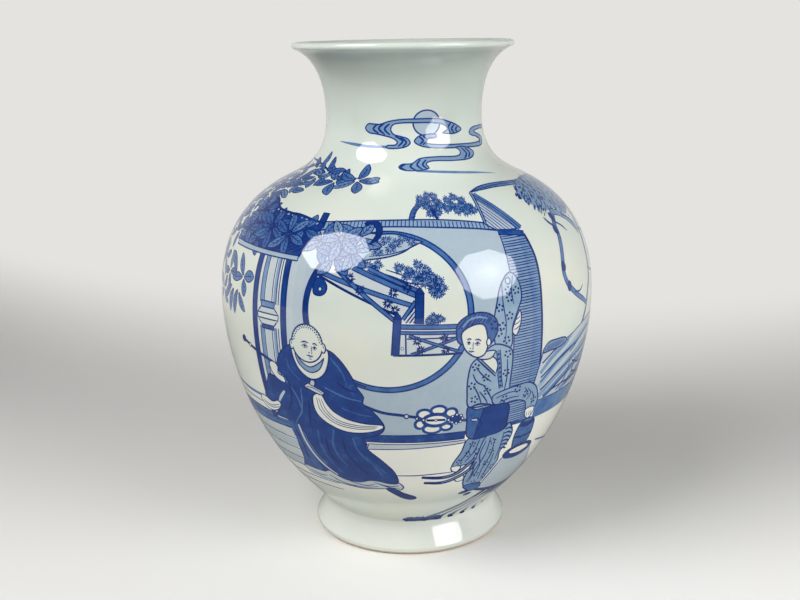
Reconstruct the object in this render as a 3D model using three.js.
// Porcelain zun vase: trumpet mouth, short neck, high round shoulder and spreading foot ring.
// It is thrown in four sections, which are luted together with liquid clay (slip) before firing.
// Millimetres, +Z up, origin at the centre of the foot's resting face.
import * as THREE from 'three';

// Foot ring: a spreading ring with a flat resting land and a rounded edge
const FOOT_HEIGHT = 18.6;
const FOOT_RADIUS = 60.3;
const FOOT_EDGE_HEIGHT = 5;
const FOOT_LAND_RADIUS = 57.4;
const FOOT_LAND_WIDTH = 5;
const FOOT_INNER_BEVEL = 1.2;
const FOOT_EDGE_HANDLE = 1.5;
const FOOT_TOP_LEAN = THREE.MathUtils.degToRad(28);
const FOOT_TOP_HANDLE = 6;
const FOOT_JOINT_WIDTH = 9;

// Lower body: from the waist on the foot ring up to the belly, with the vase's floor
const WAIST_RADIUS = 51.6;
const WAIST_LEAN = THREE.MathUtils.degToRad(49.1);
const WAIST_HANDLE = 76.2;
const LOWER_BODY_HEIGHT = 132.2;
const BELLY_RADIUS = 113;
const BELLY_HANDLE_BELOW = 16.4;
const FLOOR_THICKNESS = 9;
const FLOOR_COVE = 12;

// Upper body: from the belly over the shoulder to the foot of the neck
const BELLY_HANDLE_ABOVE = 36;
const SHOULDER_RADIUS = 72;
const SHOULDER_RISE = 69.2;
const SHOULDER_LEAN = THREE.MathUtils.degToRad(64);
const SHOULDER_HANDLE_BELOW = 28;
const SHOULDER_HANDLE_ABOVE = 11.5;
const NECK_JOINT_RISE = 14.2;

// Neck: from the joint through the throat to the everted lip
const THROAT_RADIUS = 46.2;
const THROAT_RISE = 36.4;
const THROAT_HANDLE_BELOW = 26;
const THROAT_HANDLE_ABOVE = 9.5;
const MOUTH_RISE = 42;
const RIM_RADIUS = 65;
const LIP_LEAN = THREE.MathUtils.degToRad(68.5);
const LIP_HANDLE = 17.5;
const LIP_THICKNESS = 4;

// Wall thickness, square to the wall, tapering evenly between these places
const WAIST_WALL = 8.5;
const BELLY_WALL = 6.2;
const SHOULDER_WALL = 6;
const THROAT_WALL = 5;

// Slip: a thin layer in each joint, squeezed out into a half-round bead inside the vase
const SLIP_THICKNESS = 0.8;
const SLIP_BEAD_RADIUS = 1.6;
const SLIP_BEAD_CLEARANCE = 0.3;

// Facets
const ROUND_SEGMENTS = 60;
const LONG_CURVE_STEPS = 9;
const SHORT_CURVE_STEPS = 5;
const EDGE_STEPS = 3;

// Heights that follow from the sections
const lowerBase = FOOT_HEIGHT + SLIP_THICKNESS;
const lowerTop = lowerBase + LOWER_BODY_HEIGHT;
const upperBase = lowerTop + SLIP_THICKNESS;
const shoulderHeight = upperBase + SHOULDER_RISE;
const upperTop = shoulderHeight + NECK_JOINT_RISE;
const neckBase = upperTop + SLIP_THICKNESS;
const throatHeight = shoulderHeight + THROAT_RISE;
const rimHeight = throatHeight + MOUTH_RISE;

const at = (radius, height) => new THREE.Vector2(radius, height);

// A point a length away from another, in a direction that leans from upright: positive leans outwards
const along = (point, lean, length) =>
  at(point.x + Math.sin(lean) * length, point.y + Math.cos(lean) * length);

const arc = (centre, radiusX, radiusY, from, to, steps) =>
  new THREE.EllipseCurve(centre.x, centre.y, radiusX, radiusY, from, to).getPoints(steps);

// A stretch of the thrown wall: its outer curve, and a thickness that tapers from start to end
class Wall {
  constructor(curve, startThickness, endThickness) {
    this.curve = curve;
    this.startThickness = startThickness;
    this.endThickness = endThickness;
  }

  outer(t) {
    return this.curve.getPoint(t);
  }

  // The curve's direction, from the differences between its control points
  run(t) {
    const { v0, v1, v2, v3 } = this.curve;
    const direction = at(0, 0);
    direction.addScaledVector(v1.clone().sub(v0), (1 - t) * (1 - t));
    direction.addScaledVector(v2.clone().sub(v1), 2 * t * (1 - t));
    direction.addScaledVector(v3.clone().sub(v2), t * t);
    return direction.normalize();
  }

  inner(t) {
    const point = this.curve.getPoint(t);
    const run = this.run(t);
    const thickness = THREE.MathUtils.lerp(this.startThickness, this.endThickness, t);
    return at(point.x - run.y * thickness, point.y + run.x * thickness);
  }

  // Where along the wall a face reaches a height, by halving
  reach(face, height) {
    let low = 0;
    let high = 1;
    for (let turn = 0; turn < 50; turn += 1) {
      const middle = (low + high) / 2;
      if (this[face](middle).y < height) low = middle;
      else high = middle;
    }
    return (low + high) / 2;
  }

  points(face, steps, from = 0, to = 1) {
    const step = (to - from) / steps;
    return Array.from({ length: steps + 1 }, (_, i) => this[face](from + i * step));
  }
}

const waist = at(WAIST_RADIUS, lowerBase);
const shoulder = at(SHOULDER_RADIUS, shoulderHeight);
const throat = at(THROAT_RADIUS, throatHeight);
const lipRadius = LIP_THICKNESS / 2;
const lipCentre = at(RIM_RADIUS - lipRadius, rimHeight - lipRadius);
const lipOuter = along(lipCentre, LIP_LEAN + Math.PI / 2, lipRadius);

const lowerWall = new Wall(
  new THREE.CubicBezierCurve(
    waist,
    along(waist, WAIST_LEAN, WAIST_HANDLE),
    at(BELLY_RADIUS, lowerTop - BELLY_HANDLE_BELOW),
    at(BELLY_RADIUS, lowerTop),
  ),
  WAIST_WALL,
  BELLY_WALL,
);
const shoulderWall = new Wall(
  new THREE.CubicBezierCurve(
    at(BELLY_RADIUS, upperBase),
    at(BELLY_RADIUS, upperBase + BELLY_HANDLE_ABOVE),
    along(shoulder, -SHOULDER_LEAN, -SHOULDER_HANDLE_BELOW),
    shoulder,
  ),
  BELLY_WALL,
  SHOULDER_WALL,
);
const neckWall = new Wall(
  new THREE.CubicBezierCurve(
    shoulder,
    along(shoulder, -SHOULDER_LEAN, SHOULDER_HANDLE_ABOVE),
    at(THROAT_RADIUS, throatHeight - THROAT_HANDLE_BELOW),
    throat,
  ),
  SHOULDER_WALL,
  THROAT_WALL,
);
const mouthWall = new Wall(
  new THREE.CubicBezierCurve(
    throat,
    at(THROAT_RADIUS, throatHeight + THROAT_HANDLE_ABOVE),
    along(lipOuter, LIP_LEAN, -LIP_HANDLE),
    lipOuter,
  ),
  THROAT_WALL,
  LIP_THICKNESS,
);

// Turns a profile, listed anticlockwise with radius to the right, into a solid about the Z axis
function turned(name, profile, material) {
  const geometry = new THREE.LatheGeometry(profile, ROUND_SEGMENTS);
  geometry.rotateX(Math.PI / 2);
  const mesh = new THREE.Mesh(geometry, material);
  mesh.name = name;
  return mesh;
}

// Joins runs of points into one outline, leaving out points that repeat
function outline(...runs) {
  return runs.flat().filter((point, i, all) => i === 0 || point.distanceTo(all[i - 1]) > 1e-6);
}

const closed = (points) => [...points, points[0].clone()];

function footRing(material) {
  const landInner = FOOT_LAND_RADIUS - FOOT_LAND_WIDTH;
  const edgeCentre = at(FOOT_LAND_RADIUS, FOOT_EDGE_HEIGHT);
  const edge = at(FOOT_RADIUS, FOOT_EDGE_HEIGHT);
  const top = at(WAIST_RADIUS, FOOT_HEIGHT);
  const flank = new THREE.CubicBezierCurve(
    edge,
    at(FOOT_RADIUS, FOOT_EDGE_HEIGHT + FOOT_EDGE_HANDLE),
    along(top, -FOOT_TOP_LEAN, -FOOT_TOP_HANDLE),
    top,
  );
  const edgeRise = FOOT_RADIUS - FOOT_LAND_RADIUS;
  const profile = outline(
    at(landInner, 0),
    arc(edgeCentre, edgeRise, FOOT_EDGE_HEIGHT, -Math.PI / 2, 0, EDGE_STEPS),
    flank.getPoints(SHORT_CURVE_STEPS),
    at(WAIST_RADIUS - FOOT_JOINT_WIDTH, FOOT_HEIGHT),
    at(landInner - FOOT_INNER_BEVEL, FOOT_INNER_BEVEL),
  );
  return turned('foot_ring', closed(profile), material);
}

function lowerBody(material) {
  const floorHeight = lowerBase + FLOOR_THICKNESS;
  const corner = lowerWall.inner(lowerWall.reach('inner', floorHeight));
  const coveTop = lowerWall.reach('inner', floorHeight + FLOOR_COVE);
  const cove = new THREE.QuadraticBezierCurve(
    lowerWall.inner(coveTop),
    corner,
    at(corner.x - FLOOR_COVE, floorHeight),
  );
  const profile = outline(
    at(0, lowerBase),
    lowerWall.points('outer', LONG_CURVE_STEPS),
    lowerWall.points('inner', LONG_CURVE_STEPS, 1, coveTop),
    cove.getPoints(EDGE_STEPS),
    at(0, floorHeight),
  );
  return turned('lower_body', profile, material);
}

function upperBody(material) {
  const outerTop = neckWall.reach('outer', upperTop);
  const innerTop = neckWall.reach('inner', upperTop);
  const profile = outline(
    shoulderWall.points('outer', LONG_CURVE_STEPS),
    neckWall.points('outer', SHORT_CURVE_STEPS, 0, outerTop),
    neckWall.points('inner', SHORT_CURVE_STEPS, innerTop, 0),
    shoulderWall.points('inner', LONG_CURVE_STEPS, 1, 0),
  );
  return turned('upper_body', closed(profile), material);
}

function neck(material) {
  const outerBase = neckWall.reach('outer', neckBase);
  const innerBase = neckWall.reach('inner', neckBase);
  const lipStart = -LIP_LEAN;
  const profile = outline(
    neckWall.points('outer', SHORT_CURVE_STEPS, outerBase, 1),
    mouthWall.points('outer', LONG_CURVE_STEPS),
    arc(lipCentre, lipRadius, lipRadius, lipStart, 0, EDGE_STEPS),
    arc(lipCentre, lipRadius, lipRadius, 0, Math.PI / 2, EDGE_STEPS),
    arc(lipCentre, lipRadius, lipRadius, Math.PI / 2, lipStart + Math.PI, EDGE_STEPS),
    mouthWall.points('inner', LONG_CURVE_STEPS, 1, 0),
    neckWall.points('inner', SHORT_CURVE_STEPS, 1, innerBase),
  );
  return turned('neck', closed(profile), material);
}

function footSlip(material) {
  const profile = [
    at(WAIST_RADIUS - FOOT_JOINT_WIDTH, FOOT_HEIGHT),
    at(WAIST_RADIUS, FOOT_HEIGHT),
    at(WAIST_RADIUS, lowerBase),
    at(WAIST_RADIUS - FOOT_JOINT_WIDTH, lowerBase),
  ];
  return turned('foot_slip', closed(profile), material);
}

// The layer between two wall ends, with the bead that stands just clear of both walls' inner faces
function beadedSlip(name, base, outerBase, outerTop, innerBelow, innerAbove, material) {
  const nearest = Math.min(innerBelow, innerAbove);
  const half = SLIP_THICKNESS / 2;
  const centre = at(nearest - SLIP_BEAD_CLEARANCE - SLIP_BEAD_RADIUS, base + half);
  const root = Math.asin(half / SLIP_BEAD_RADIUS);
  const profile = outline(
    at(outerBase, base),
    at(outerTop, base + SLIP_THICKNESS),
    arc(centre, SLIP_BEAD_RADIUS, SLIP_BEAD_RADIUS, root, 2 * Math.PI - root, SHORT_CURVE_STEPS),
  );
  return turned(name, closed(profile), material);
}

function bellySlip(material) {
  const below = lowerWall.inner(lowerWall.reach('inner', lowerTop - SLIP_BEAD_RADIUS)).x;
  const above = shoulderWall.inner(shoulderWall.reach('inner', upperBase + SLIP_BEAD_RADIUS)).x;
  return beadedSlip('belly_slip', lowerTop, BELLY_RADIUS, BELLY_RADIUS, below, above, material);
}

function neckSlip(material) {
  const innerAt = (height) => neckWall.inner(neckWall.reach('inner', height)).x;
  const outerAt = (height) => neckWall.outer(neckWall.reach('outer', height)).x;
  const below = innerAt(upperTop - SLIP_BEAD_RADIUS);
  const above = innerAt(neckBase + SLIP_BEAD_RADIUS);
  return beadedSlip('neck_slip', upperTop, outerAt(upperTop), outerAt(neckBase), below, above, material);
}

const porcelain = (color) => new THREE.MeshStandardMaterial({ color, roughness: 0.12, metalness: 0 });
const driedSlip = () => new THREE.MeshStandardMaterial({ color: 0xe4e2d8, roughness: 0.55, metalness: 0 });

const vase = new THREE.Group();
vase.add(
  footRing(porcelain(0xe2e4de)),
  footSlip(driedSlip()),
  lowerBody(porcelain(0xdfe5e6)),
  bellySlip(driedSlip()),
  upperBody(porcelain(0xdde4e8)),
  neckSlip(driedSlip()),
  neck(porcelain(0xe6e9e6)),
);

export default vase;
